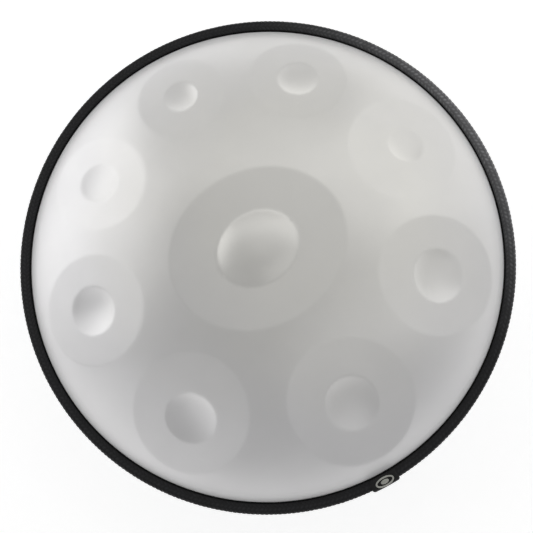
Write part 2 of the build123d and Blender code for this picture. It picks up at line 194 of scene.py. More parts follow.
# painted light: the steel is painted whiter and less metallic towards the trim, brightening away the
# trim's dark reflection, between these distances from the axis
RIM_PAINTED_LIGHT_FROM = 0.257
RIM_PAINTED_LIGHT_TO = 0.266
RIM_PAINTED_LIGHT_COLOUR = (0.95, 0.95, 0.95, 1.0)
RIM_PAINTED_LIGHT_METALLIC = 0.2
BRAID_COLOUR = (0.011, 0.0112, 0.0128, 1.0)
BRAID_PAINTED_LIGHT_COLOUR = (0.27, 0.27, 0.277, 1.0)
BRAID_PAINTED_LIGHT_MIDDLE = math.radians(35.0)     # direction and reach of the stretch of yarn painted lighter, a painted highlight
BRAID_PAINTED_LIGHT_REACH = math.radians(60.0)
BRAID_PAINTED_LIGHT_FROM = 11.0        # the painted light grows from this far inside the trim's outer edge to this far
BRAID_PAINTED_LIGHT_TO = 2.0
BRAID_PAINTED_LIGHT_LEAST = 0.45
STRAND_SHADES = (0.78, 1.22)   # darkest and lightest strand
STRAND_EDGE_PAINTED_SHADE = 0.62       # painted shade at a strand's edges and painted highlight in its middle, as brightness factors
STRAND_MIDDLE_PAINTED_HIGHLIGHT = 1.35
STRAND_EDGE_FROM = 0.5         # distances from a strand's middle where those two are reached
STRAND_MIDDLE_TO = 0.08
FIBRE_SLANT = 2.2
FIBRES_PER_STRAND = 4
METAL_COLOURS = ((0.50, 0.50, 0.46, 1.0), (0.40, 0.41, 0.37, 1.0))      # bright, dull
GLUE_COLOURS = ((0.30, 0.28, 0.22, 1.0), (0.38, 0.37, 0.33, 1.0))

FLOOR_SIZE = 8.0
FLOOR_COLOUR = (0.9, 0.9, 0.9)
FLOOR_GLOW = 0.48
WORLD_COLOUR = (1.0, 1.0, 1.0, 1.0)
WORLD_STRENGTH = 0.42
SOFTBOX_DISTANCE = 2.2
# name, azimuth (0 is +X, 90 is +Y), elevation, width and height in metres, brightness
SOFTBOXES = [
    ("left_low", 160, 6, 2.6, 1.0, 0.86),
    ("left_high", 165, 32, 2.0, 1.0, 0.5),
    ("right_low", 40, 14, 2.0, 1.0, 0.42),
    ("right_high", 40, 40, 1.8, 1.2, 0.4),
    ("back_low", 97, 14, 2.0, 1.0, 0.2),
    ("back_high", 100, 45, 2.0, 1.2, 0.33),
    ("right_side", 0, 25, 1.6, 1.2, 0.25),
    ("front_left", 225, 12, 1.8, 1.0, 0.28),
    ("front_right", 320, 45, 1.8, 1.2, 0.22),
    ("overhead", 70, 72, 1.8, 1.8, 0.16),
]

CAMERA_DISTANCE = 1.0
CAMERA_AZIMUTH = 27.3
CAMERA_LEAN = 7.45             # off the vertical
CAMERA_LENS = 59.87
CAMERA_SHIFT = (0.0045, -0.012)


# ---------------------------------------------------------------- mesh helpers
def make_piece(name, points, faces, replaced, uv=None):
    """Mesh object from millimetre points and index faces, on the root body in place of a CAD node."""
    mesh = bpy.data.meshes.new(name)
    points = np.asarray(points, float) * MM
    faces = np.asarray(faces, np.int32)
    mesh.vertices.add(len(points))
    mesh.vertices.foreach_set("co", points.astype(np.float32).ravel())
    corners = faces.shape[1]
    mesh.loops.add(faces.size)
    mesh.loops.foreach_set("vertex_index", faces.ravel())
    mesh.polygons.add(len(faces))
    mesh.polygons.foreach_set("loop_start", np.arange(len(faces), dtype=np.int32) * corners)
    mesh.polygons.foreach_set("use_smooth", np.ones(len(faces), bool))
    if uv is not None:
        layer = mesh.uv_layers.new(name="UVMap")
        layer.data.foreach_set("uv", np.asarray(uv, np.float32)[faces.ravel()].ravel())
    mesh.update(calc_edges=True)
    mesh.validate()
    piece = bpy.data.objects.new(name, mesh)
    bpy.context.scene.collection.objects.link(piece)
    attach(piece, "root")
    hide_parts(replaced)
    return piece


def grid_faces(rows, columns, wrap_rows=False, wrap_columns=False, start=0):
    """Quads of a rows by columns grid of points."""
    row = np.arange(rows if wrap_rows else rows - 1)
    column = np.arange(columns if wrap_columns else columns - 1)
    row, column = (a.ravel() for a in np.meshgrid(row, column, indexing="ij"))
    next_row, next_column = (row + 1) % rows, (column + 1) % columns
    corners = [
        row * columns + column,
        next_row * columns + column,
        next_row * columns + next_column,
        row * columns + next_column,
    ]
    return np.stack(corners, 1) + start


def revolve(section, steps):
    """Points and quads of a closed section (radius, height) turned about the axis."""
    section = np.asarray(section, float)
    turn = np.linspace(0, 2 * np.pi, steps, endpoint=False)
    radius, height = section[None, :, 0], section[None, :, 1]
    points = np.stack(
        [
            radius * np.cos(turn)[:, None],
            radius * np.sin(turn)[:, None],
            np.broadcast_to(height, (steps, len(section))),
        ],
        -1,
    )
    return points.reshape(-1, 3), grid_faces(steps, len(section), True, True)


def arc(centre, radius, start, end, count):
    """Points of a circular arc in a section, angles in degrees."""
    angle = np.radians(np.linspace(start, end, count))
    return np.stack([centre[0] + radius * np.cos(angle), centre[1] + radius * np.sin(angle)], 1)


def smooth_min(a, b, width):
    """The smaller of two surfaces, blended where they are closer than width."""
    closeness = np.clip(width - np.abs(a - b), 0, None) / width
    return np.minimum(a, b) - closeness ** 2 * width / 4


def circle_radius(half_chord, sagitta):
    """Radius of the circle that rises by sagitta over half_chord."""
    return (half_chord ** 2 + sagitta ** 2) / (2 * sagitta)


# ---------------------------------------------------------------- top shell
def field_frame(direction, axis_distance, half_width):
    """Local X (towards the rim), Y and Z (outward normal) of a tone field, and its distance from
    the sphere's centre."""
    centre_distance = math.sqrt(SPHERE ** 2 - half_width ** 2)
    tilt = math.asin(axis_distance / centre_distance)
    turn = math.radians(direction)
    sine, cosine = math.sin(tilt), math.cos(tilt)
    normal = np.array([sine * math.cos(turn), sine * math.sin(turn), cosine])
    downhill = np.array([cosine * math.cos(turn), cosine * math.sin(turn), -sine])
    return np.stack([downhill, np.cross(normal, downhill), normal]), centre_distance


def field_distance(local, centre_distance, half_length, half_width, inset):
    """Distance along each local ray to a tone field's long-curved surface."""
    field_radius = SPHERE / (1 - (half_width / half_length) ** 2)
    axis_height = centre_distance - field_radius
    across = local[:, 0] ** 2 + local[:, 2] ** 2
    lift = local[:, 2] * axis_height
    reach = axis_height ** 2 - (field_radius - inset) ** 2
    return (lift + np.sqrt(np.maximum(lift ** 2 - across * reach, 0))) / across


def lens_distance(
    local, start, centre_distance, sweep_height, long_radius, short_radius, middle=(0, 0)
):
    """Distance along each local ray to a doubly curved surface, by Newton steps from start.

    sweep_height is the height of its long arc's centre above the field's middle. The surface lies
    below that centre for a dimple (positive height) and above it for a dome (negative height).
    """
    distance = start.copy()
    offset = long_radius - short_radius
    for _ in range(NEWTON_STEPS):
        values = []
        for step in (0.0, NEWTON_PROBE):
            along = distance + step
            x = along * local[:, 0] - middle[0]
            y = along * local[:, 1] - middle[1]
            z = along * local[:, 2] - centre_distance - sweep_height
            section = np.sqrt(np.maximum(short_radius ** 2 - y ** 2, LEAST_SQUARE))
            values.append(np.hypot(x, z) - offset - section)
        slope = (values[1] - values[0]) / NEWTON_PROBE
        slope = np.where(np.abs(slope) < NEWTON_LEAST_SLOPE, NEWTON_LEAST_SLOPE, slope)
        change = np.clip(values[0] / slope, -NEWTON_LONGEST_STEP, NEWTON_LONGEST_STEP)
        distance = distance - change
    return distance


def snap_to_oval(
    directions, axes, centre_distance, half_length, half_width, spacing, middle=(0, 0)
):
    """Move the grid points nearest to an oval's outline onto it, so its edge stays clean."""
    local = directions @ axes.T
    facing = local[:, 2] > NEAR_NORMAL
    scale = centre_distance / np.where(facing, local[:, 2], 1)
    x, y = local[:, 0] * scale - middle[0], local[:, 1] * scale - middle[1]
    size = np.hypot(x / half_length, y / half_width)
    near = facing & (np.abs(size - 1) * half_width < spacing / 2) & (size > 0)
    moved = local.copy()
    moved[near, 0] = (x[near] / size[near] + middle[0]) / scale[near]
    moved[near, 1] = (y[near] / size[near] + middle[1]) / scale[near]
    moved /= np.linalg.norm(moved, axis=1)[:, None]
    result = directions.copy()
    result[near] = moved[near] @ axes
    return result


def top_skin(directions, inset):
    """Distance from the sphere's centre to the top shell's skin, for unit directions."""
    skin = np.full(len(directions), SPHERE - inset)
    for row in OUTER_FIELDS:
        direction, axis_distance, half_length, half_width, dimple_length, dimple_width, *middle = row
        axes, centre_distance = field_frame(direction, axis_distance, half_width)
        local = directions @ axes.T
        near = np.hypot(local[:, 0], local[:, 1]) * SPHERE < FIELD_REACH * half_length
        near &= local[:, 2] > 0
        field = field_distance(local[near], centre_distance, half_length, half_width, inset)
        depth = DIMPLE_DEPTH_RATIO * dimple_width
        drop = (1 - (half_width / half_length) ** 2) / SPHERE * dimple_length ** 2 / 2
        long_radius = circle_radius(dimple_length, depth - drop)
        short_radius = circle_radius(dimple_width, depth)
        bowl = lens_distance(
            local[near],
            field,
            centre_distance,
            long_radius - depth,
            long_radius + inset,
            short_radius + inset,
            middle,
        )
        x = local[near, 0] * SPHERE - middle[0]
        y = local[near, 1] * SPHERE - middle[1]
        in_reach = np.hypot(x / dimple_length, y / dimple_width) < DIMPLE_REACH
        bowl = np.where(in_reach, bowl, SPHERE + OUT_OF_REACH)
        field = smooth_min(field, bowl, DIMPLE_BLEND)
        skin[near] = smooth_min(skin[near], field, FIELD_BLEND)

    turn, half_length, half_width = DING_FIELD
    axes, centre_distance = field_frame(turn, 0, half_width)
    local = directions @ axes.T
    near = local[:, 2] > NEAR_NORMAL
    field = field_distance(local[near], centre_distance, half_length, half_width, inset)
    dome_length, dome_width, height = DING_DOME
    drop = (1 - (half_width / half_length) ** 2) / SPHERE * dome_length ** 2 / 2
    long_radius = circle_radius(dome_length, height + drop)
    short_radius = circle_radius(dome_width, height)
    dome = lens_distance(
        local[near],
        field + height / 2,
        centre_distance,
        height - long_radius,
        long_radius - inset,
        short_radius - inset,
    )
    x, y = local[near, 0] * SPHERE / dome_length, local[near, 1] * SPHERE / dome_width
    dome = np.where(np.hypot(x, y) < DOME_REACH, dome, 0)
    flattened = smooth_min(skin[near], field, FIELD_BLEND)
    skin[near] = -smooth_min(-flattened, -dome, DOME_BLEND)
    return skin


def disc_grid(count):
    """Points of a square grid mapped evenly onto the unit disc, its quads and its boundary loop."""
    line = np.linspace(-1, 1, count + 1)
    u, v = (a.ravel() for a in np.meshgrid(line, line, indexing="ij"))
    wide = np.abs(u) > np.abs(v)
    safe_u, safe_v = np.where(u == 0, 1, u), np.where(v == 0, 1, v)
    radius = np.where(wide, u, v)
    turn = np.where(wide, math.pi / 4 * v / safe_u, math.pi / 2 - math.pi / 4 * u / safe_v)
    disc = np.stack([radius * np.cos(turn), radius * np.sin(turn)], 1)
    side = np.arange(count + 1)
    last = count * (count + 1)
    loop = np.concatenate(
        [
            side[:-1] * (count + 1),
            last + side[:-1],
            (count - side[:-1]) * (count + 1) + count,
            count - side[:-1],
        ]
    )
    return disc, grid_faces(count + 1, count + 1), loop[::-1]


def skin_points(disc, edge_radius, inset, snap):
    """Points of the top shell's skin over the unit disc."""
    radius = SPHERE - inset
    flat = disc * edge_radius / radius
    directions = np.column_stack([flat, np.sqrt(1 - (flat ** 2).sum(1))])
    if snap:
        spacing = edge_radius * math.sqrt(math.pi) / TOP_GRID
        for row in OUTER_FIELDS:
            direction, axis_distance, _, half_width, dimple_length, dimple_width, *middle = row
            axes, centre_distance = field_frame(direction, axis_distance, half_width)
            oval = (dimple_length, dimple_width)
            directions = snap_to_oval(directions, axes, centre_distance, *oval, spacing, middle)
        axes, centre_distance = field_frame(DING_FIELD[0], 0, DING_FIELD[2])
        directions = snap_to_oval(directions, axes, centre_distance, *DING_DOME[:2], spacing)
    points = directions * top_skin(directions, inset)[:, None]
    points[:, 2] += TOP_CENTRE_Z
    return points


def bend_centre(sphere_radius, centre_z, face_z, side):
    """Centre of the flange's bend in the section; side is +1 on the top shell, -1 on the bottom."""
    height = face_z + side * FLANGE_BEND_RADIUS
    reach = sphere_radius + FLANGE_BEND_RADIUS
    return np.array([math.sqrt(reach ** 2 - (height - centre_z) ** 2), height])


def make_top_shell():
    """Outer skin, flange and inner skin of the top shell."""
    face_z = RIM_Z + FLANGE_FACE
    centre = bend_centre(SPHERE, TOP_CENTRE_Z, face_z, 1)
    lean = math.degrees(math.atan2(centre[1] - TOP_CENTRE_Z, centre[0]))
    tangent_radius = SPHERE * math.cos(math.radians(lean))
    disc, faces, loop = disc_grid(TOP_GRID)
    outer = skin_points(disc, tangent_radius, 0, True)

    inner_bend = FLANGE_BEND_RADIUS + STEEL
    chamfered = FLANGE_RADIUS - FLANGE_CHAMFER
    section = np.concatenate(
        [
            arc(centre, FLANGE_BEND_RADIUS, 180 + lean, 270, BEND_STEPS)[1:],
            [(chamfered, face_z), (FLANGE_RADIUS, face_z - FLANGE_CHAMFER)],
            [(FLANGE_RADIUS, face_z - STEEL + FLANGE_CHAMFER), (chamfered, face_z - STEEL)],
            arc(centre, inner_bend, 270, 180 + lean, BEND_STEPS),
        ]
    )
    turn = np.arctan2(outer[loop, 1], outer[loop, 0])
    rings = np.stack(
        [
            section[:, 0, None] * np.cos(turn),
            section[:, 0, None] * np.sin(turn),
            np.broadcast_to(section[:, 1, None], (len(section), len(turn))),
        ],
        -1,
    ).reshape(-1, 3)
    ring_start = len(outer)
    ring_faces = grid_faces(len(section), len(turn), False, True, ring_start)
    first = np.arange(len(loop))
    following = (first + 1) % len(loop)
    seam = np.stack([loop[following], ring_start + following, ring_start + first, loop[first]], 1)

    inner_disc, inner_faces, _ = disc_grid(TOP_INNER_GRID)
    inner_radius = (SPHERE - STEEL) * math.cos(math.radians(lean))
    inner = skin_points(inner_disc, inner_radius, STEEL, False)
    inner_start = ring_start + len(rings)
    points = np.concatenate([outer, rings, inner])
    faces = np.concatenate([faces, seam, ring_faces[:, ::-1], inner_faces[:, ::-1] + inner_start])
    return make_piece("top_shell_skin", points, faces, "top_shell")


top_shell = make_top_shell()


# ---------------------------------------------------------------- bottom shell
def make_bottom_shell():
    """Bottom shell turned from its section: neck, rolled port edge, foot ring, dome and flange."""
    face_z = RIM_Z - FLANGE_FACE
    bend = bend_centre(SPHERE, BOTTOM_CENTRE_Z, face_z, -1)
    bend_lean = math.degrees(math.atan2(bend[1] - BOTTOM_CENTRE_Z, bend[0]))
    blend_reach, blend_drop = SPHERE - FOOT_BLEND_RADIUS, BOTTOM_CENTRE_Z - FOOT_BLEND_RADIUS
    blend_x = math.sqrt(blend_reach ** 2 - blend_drop ** 2)
    blend = (blend_x, FOOT_BLEND_RADIUS)
    foot_lean = math.degrees(math.atan2(FOOT_BLEND_RADIUS - BOTTOM_CENTRE_Z, blend_x))
    roll = (PORT_RADIUS + PORT_ROLL_RADIUS, PORT_ROLL_RADIUS)
    sphere_centre = (0, BOTTOM_CENTRE_Z)

    neck_middle = (PORT_RADIUS + STEEL / 2, PORT_NECK_TOP - STEEL / 2)
    neck_point = PORT_NECK_TOP - NECK_POINT_DROP
    chamfered = FLANGE_RADIUS - FLANGE_CHAMFER
    outside = [
        arc(neck_middle, STEEL / 2, 90, 180, NECK_EDGE_STEPS),
        [(PORT_RADIUS, neck_point)],
        arc(roll, PORT_ROLL_RADIUS, 180, 270, PORT_STEPS[0]),
        arc(blend, FOOT_BLEND_RADIUS, 270, 360 + foot_lean, FOOT_BLEND_STEPS[0]),
        arc(sphere_centre, SPHERE, foot_lean, bend_lean, DOME_STEPS[0])[1:],
        arc(bend, FLANGE_BEND_RADIUS, 180 + bend_lean, 90, BEND_STEPS)[1:],
        [(chamfered, face_z), (FLANGE_RADIUS, face_z + FLANGE_CHAMFER)],
    ]
    inside = [
        [(FLANGE_RADIUS, face_z + STEEL - FLANGE_CHAMFER), (chamfered, face_z + STEEL)],
        arc(bend, FLANGE_BEND_RADIUS + STEEL, 90, 180 + bend_lean, BEND_STEPS),
        arc(sphere_centre, SPHERE - STEEL, bend_lean, foot_lean, DOME_STEPS[1])[1:],
        arc(blend, FOOT_BLEND_RADIUS - STEEL, 360 + foot_lean, 270, FOOT_BLEND_STEPS[1])[1:],
        arc(roll, PORT_ROLL_RADIUS - STEEL, 270, 180, PORT_STEPS[1]),
        [(PORT_RADIUS + STEEL, neck_point)],
        arc(neck_middle, STEEL / 2, 0, 90, NECK_EDGE_STEPS)[:-1],
    ]
    section = np.concatenate([np.asarray(part, float) for part in outside + inside])
    points, faces = revolve(section, REVOLVE_STEPS)
    return make_piece("bottom_shell_skin", points, faces, "bottom_shell")


bottom_shell = make_bottom_shell()


# ---------------------------------------------------------------- rim trim
def on_trim(half_height, position, turn, centre_radius=TRIM_CENTRE_RADIUS):
    """Point of a layer of the trim, half_height from the rim plane.

    position runs across the trim in millimetres from its outermost line, upwards and then inwards,
    or the same below when it is negative; turn is the direction from the axis in radians.
    """
    reach = np.abs(position)
    angle = np.minimum(reach, QUARTER) / TRIM_HALF_HEIGHT
    radius = centre_radius + half_height * np.cos(angle) - np.maximum(reach - QUARTER, 0)
    height = RIM_Z + half_height * np.sin(angle) * np.sign(position)
    return np.stack(np.broadcast_arrays(radius * np.cos(turn), radius * np.sin(turn), height), -1)


def make_edge_channel():
    """Rubber channel with a lip bead along each dome."""
    section_half = TRIM_HALF_HEIGHT - BAND_THICKNESS
    slot_half = FLANGE_FACE + TRIM_CLEARANCE
    upper = np.concatenate(
        [
            [(SLOT_DEPTH_RADIUS, slot_half), (SLOT_CORNER_RADIUS, slot_half)],
            arc(BEAD_PLACE, BEAD_RADIUS, *BEAD_ARC, BEAD_STEPS),
            [(BAND_EDGE_RADIUS + CHANNEL_FLAT_GAP, section_half)],
            arc((TRIM_CENTRE_RADIUS, 0), section_half, 90, 0, TRIM_EDGE_STEPS)[:-1],
        ]
    )
    lower = upper[::-1] * [1, -1]
    middle = [(TRIM_CENTRE_RADIUS + section_half, 0)]
    section = np.concatenate([upper, middle, lower]) + [0, RIM_Z]
    points, faces = revolve(section[::-1], TRIM_STEPS)
    return make_piece("edge_channel_rubber", points, faces, "edge_channel")


def make_rim_band():
    """Flat braid wrapped around the channel: columns of slanting strands over a backing strip."""
    reach = QUARTER + TRIM_CENTRE_RADIUS - BAND_EDGE_RADIUS
    floor_half = TRIM_HALF_HEIGHT - STRAND_HEIGHT
    across = np.linspace(-reach, reach, BACKING_STEPS)
    outer = on_trim(floor_half + BACKING_THICKNESS, across, 0.0)[:, ::2]
    inner = on_trim(floor_half, across[::-1], 0.0)[:, ::2]
    points, faces = revolve(np.concatenate([outer, inner]), REVOLVE_STEPS)
    all_points, all_faces = [points], [faces]
    all_uv = [np.zeros((len(points), 2))]
    count = len(points)

    column_width = 2 * reach / BRAID_COLUMNS
    pitch = 2 * math.pi / BRAID_REPEATS
    along = np.linspace(-1, 1, STRAND_LENGTH_STEPS)
    across = np.linspace(-1, 1, STRAND_WIDTH_STEPS)
    along, across = np.meshgrid(along, across, indexing="ij")
    taper = np.sqrt(1 - STRAND_POINT * np.abs(along) ** STRAND_POINT_POWER)
    crown = (np.sqrt(1 - STRAND_ROUNDNESS * across ** 2) - STRAND_SINK) / (1 - STRAND_SINK)
    dive = 1 - STRAND_DIVE * np.abs(along) ** STRAND_DIVE_POWER
    height = STRAND_HEIGHT * crown * dive
    random = np.random.default_rng(BRAID_SEED)
    one_strand = grid_faces(STRAND_LENGTH_STEPS, STRAND_WIDTH_STEPS)[:, ::-1]
    for column in range(BRAID_COLUMNS):
        middle = -reach + (column + 0.5) * column_width
        overlap = 1.0 if column in (0, BRAID_COLUMNS - 1) else STRAND_OVERLAP
        lean = STRAND_SLANT / TRIM_RADIUS * (1 if column % 2 else -1)
        for repeat in range(BRAID_REPEATS):
            shift = random.normal(0, STRAND_SHIFT_SPREAD)
            turn_middle = (repeat + 0.5 * (column % 2)) * pitch + shift * pitch
            lift = random.normal(0, STRAND_LIFT_SPREAD)
            position = middle + along * column_width / 2 * overlap
            turn = turn_middle + lean * along + across * taper * pitch / 2 * STRAND_FILL
            strand = on_trim(floor_half + height + lift, position, turn)
            all_points.append(strand.reshape(-1, 3))
            all_faces.append(one_strand + count)
            u = (along + 1) / 2 + column
            v = (across + 1) / 2 + repeat
            all_uv.append(np.stack([u.ravel(), v.ravel()], 1))
            count += strand.size // 3
    points, faces, uv = (np.concatenate(part) for part in (all_points, all_faces, all_uv))
    return make_piece("rim_band_braid", points, faces, "rim_band", uv)


edge_channel = make_edge_channel()
rim_band = make_rim_band()


# ---------------------------------------------------------------- badge
def make_badge_sleeve():
    """Moulded sleeve over the trim's joint: sloped ends, rounded edges, a groove at the medallion."""
    rows, columns = SLEEVE_GRID
    across = np.linspace(-1, 1, rows)[:, None]
    along = np.linspace(-BADGE_LENGTH / 2, BADGE_LENGTH / 2, columns)[None]
    turn = BADGE_ANGLE + along / TRIM_RADIUS
    outer_position = across * (QUARTER + BADGE_CENTRE_RADIUS - BADGE_EDGE_RADIUS)
    inner_position = across * (QUARTER + TRIM_CENTRE_RADIUS - BADGE_EDGE_RADIUS)
    outermost = on_trim(BADGE_HALF_HEIGHT, outer_position, turn, BADGE_CENTRE_RADIUS)
    innermost = on_trim(TRIM_HALF_HEIGHT - SLEEVE_BITE, inner_position, turn)

    from_end = BADGE_LENGTH / 2 - np.abs(along)
    sloped = np.clip(from_end / SLEEVE_SLOPE_LENGTH, 0, 1)
    slope = np.sin(sloped * math.pi / 2) ** SLEEVE_SLOPE_POWER
    from_lip = outer_position.max() - np.abs(outer_position)
    lip = np.sqrt(1 - (1 - np.clip(from_lip / SLEEVE_LIP_WIDTH, 0, 1)) ** 2)
    lip = SLEEVE_LIP_LEAST + (1 - SLEEVE_LIP_LEAST) * lip
    fullness = SLEEVE_LEAST + (1 - SLEEVE_LEAST) * slope * lip
    plane_across = badge_across(outer_position)
    groove_length = MEDALLION_HALF_LENGTH + GROOVE_CLEARANCE
    groove_width = MEDALLION_HALF_WIDTH + GROOVE_CLEARANCE
    oval = np.hypot(along / groove_length, plane_across / groove_width)
    groove = GROOVE_DEPTH * np.exp(-(((oval - 1) / GROOVE_WIDTH) ** 2)) * (outer_position > 0)
    fullness = (fullness - groove)[..., None]
    outer_points = (innermost + (outermost - innermost) * fullness).reshape(-1, 3)
    inner_points = innermost.reshape(-1, 3)
    size = rows * columns
    faces = grid_faces(rows, columns)
    walls = []
    borders = (
        np.arange(columns),
        np.arange(rows) * columns + columns - 1,
        (size - 1) - np.arange(columns),
        (np.arange(rows) * columns)[::-1],
    )
    for border in borders:
        walls.append(np.stack([border[:-1] + size, border[1:] + size, border[1:], border[:-1]], 1))
    points = np.concatenate([outer_points, inner_points])
    faces = np.concatenate([faces[:, ::-1], faces + size, *walls])
    return make_piece("badge_sleeve_rubber", points, faces, "badge_sleeve")


# The medallion's plane holds its top edge, on the sleeve's flat, and its foot, on the rounded edge.
foot_height = math.sqrt(BADGE_HALF_HEIGHT ** 2 - (MEDALLION_FOOT_RADIUS - BADGE_CENTRE_RADIUS) ** 2)
medallion_top = np.array([MEDALLION_TOP_RADIUS, BADGE_HALF_HEIGHT])
medallion_span = np.array([MEDALLION_FOOT_RADIUS, foot_height]) - medallion_top
MEDALLION_HALF_WIDTH = float(np.hypot(*medallion_span)) / 2
MEDALLION_ACROSS = medallion_span / (2 * MEDALLION_HALF_WIDTH)
MEDALLION_CENTRE = medallion_top + medallion_span / 2


def badge_across(position):
    """How far down the medallion's plane a position across the sleeve's surface lies."""
    point = on_trim(BADGE_HALF_HEIGHT, position, 0.0, BADGE_CENTRE_RADIUS)
    outwards = point[..., 0] - MEDALLION_CENTRE[0]
    upwards = point[..., 2] - RIM_Z - MEDALLION_CENTRE[1]
    return outwards * MEDALLION_ACROSS[0] + upwards * MEDALLION_ACROSS[1]


def on_badge(along, across, lift):
    """Point over the sleeve: along and up across the medallion's plane, lift above the sleeve."""
    table = np.linspace(QUARTER + BADGE_TABLE_REACH[0], BADGE_TABLE_REACH[1], BADGE_TABLE_STEPS)
    position = np.interp(-across, badge_across(table), table)
    turn = BADGE_ANGLE + along / TRIM_RADIUS
    return on_trim(BADGE_HALF_HEIGHT + lift, position, turn, BADGE_CENTRE_RADIUS)


def make_badge_ring():
    """Oval metal ring with a rounded crown."""
    turns, section_steps = RING_GRID
    turn = np.linspace(0, 2 * np.pi, turns, endpoint=False)[:, None]
    section = np.linspace(0, 2 * np.pi, section_steps, endpoint=False)[None]
    half = MEDALLION_RING_WIDTH / 2
    side = np.sign(np.cos(section)) * np.abs(np.cos(section)) ** RING_FULLNESS * half
    lift = np.clip(np.sin(section), -RING_SEAT, 1) * MEDALLION_THICKNESS
    along = (MEDALLION_HALF_LENGTH - half + side) * np.cos(turn)
    across = (MEDALLION_HALF_WIDTH - half + side) * np.sin(turn)
    points = on_badge(along, across, lift + 0 * along).reshape(-1, 3)
    faces = grid_faces(turns, section_steps, True, True)
    return make_piece("badge_ring_metal", points, faces, "badge_ring")


def make_badge_boss():
    """Low oval boss in the middle of the ring."""
    disc, faces, loop = disc_grid(BOSS_GRID)
    size = np.hypot(disc[:, 0], disc[:, 1])
    along, across = BOSS_HALF_LENGTH * disc[:, 0], BOSS_HALF_WIDTH * disc[:, 1]
    crown = MEDALLION_THICKNESS * np.sqrt(1 - BOSS_FLATNESS * size ** BOSS_POWER)
    top = on_badge(along, across, crown)
    underside = on_badge(along, across, np.full(len(disc), -BOSS_SEAT))
    following = np.roll(loop, -1)
    wall = np.stack([following, following + len(disc), loop + len(disc), loop], 1)
    points = np.concatenate([top, underside])
    faces = np.concatenate([faces, faces[:, ::-1] + len(disc), wall])
    return make_piece("badge_boss_metal", points, faces, "badge_boss")


badge_sleeve = make_badge_sleeve()
badge_ring = make_badge_ring()
badge_boss = make_badge_boss()


# ---------------------------------------------------------------- material helpers
def new_material(name):
    """Empty node material: the material, its node tree and its Principled shader."""
    material = bpy.data.materials.new(name)
    material.use_nodes = True
    return material, material.node_tree, material.node_tree.nodes["Principled BSDF"]


def node(tree, kind, inputs=None, **settings):
    """Add a node; an input is a value or another node's output socket."""
    made = tree.nodes.new("ShaderNode" + kind)
    for key, value in settings.items():
        setattr(made, key, value)
    for key, value in (inputs or {}).items():
        if isinstance(value, bpy.types.NodeSocket):
            tree.links.new(value, made.inputs[key])
        else:
            made.inputs[key].default_value = value
    return made


def place(tree):
    """Position on the object, in metres."""
    return node(tree, "TexCoord").outputs["Object"]


def noise(tree, vector, scale, detail=3.0, roughness=0.5, distortion=0.0):
    """Smooth random value around 0.5; scale is in cycles per metre."""
    inputs = {"Vector": vector, "Scale": scale, "Detail": detail}
    inputs.update({"Roughness": roughness, "Distortion": distortion})
    return node(tree, "TexNoise", inputs).outputs["Fac"]


def maths(tree, operation, first, second=0.0, third=0.0):
    """One arithmetic step."""
    return node(tree, "Math", {0: first, 1: second, 2: third}, operation=operation).outputs[0]


def remap(tree, value, low, high, to_low, to_high):
    """Value from low..high spread over to_low..to_high, without running past either end."""
    inputs = {"Value": value, "From Min": low, "From Max": high, "To Min": to_low, "To Max": to_high}
    return node(tree, "MapRange", inputs, clamp=True).outputs["Result"]


def ease(tree, value, low, high, to_low=0.0, to_high=1.0):
    """Like remap, but starting and ending gently."""
    inputs = {"Value": value, "From Min": low, "From Max": high, "To Min": to_low, "To Max": to_high}
    made = node(tree, "MapRange", inputs, interpolation_type="SMOOTHSTEP")
    return made.outputs["Result"]


def mix(tree, factor, first, second):
    """Blend of two colours."""
    made = node(tree, "Mix", data_type="RGBA")
    for index, value in ((0, factor), (6, first), (7, second)):
        if isinstance(value, bpy.types.NodeSocket):
            tree.links.new(value, made.inputs[index])
        else:
            made.inputs[index].default_value = value
    return made.outputs[2]


def brighten(tree, colour, factor):
    """Colour multiplied by a value."""
    made = node(tree, "VectorMath", {0: colour, "Scale": factor}, operation="SCALE")
    return made.outputs[0]


def bump(tree, height, distance, normal=None):
    """Surface relief; height runs from 0 to 1 and stands for distance in metres."""
    inputs = {"Height": height, "Distance": distance, "Strength": 1.0}
    if normal is not None:
        inputs["Normal"] = normal
    return node(tree, "Bump", inputs).outputs["Normal"]


def plug_in(tree, shader, **sockets):
    """Set the shader's inputs; underscores stand for spaces."""
    for key, value in sockets.items():
        socket = shader.inputs[key.replace("_", " ")]
        if isinstance(value, bpy.types.NodeSocket):
            tree.links.new(value, socket)
        else:
            socket.default_value = value


def put_on(piece, material):
    """Give a piece one material."""
    piece.data.materials.clear()
    piece.data.materials.append(material)


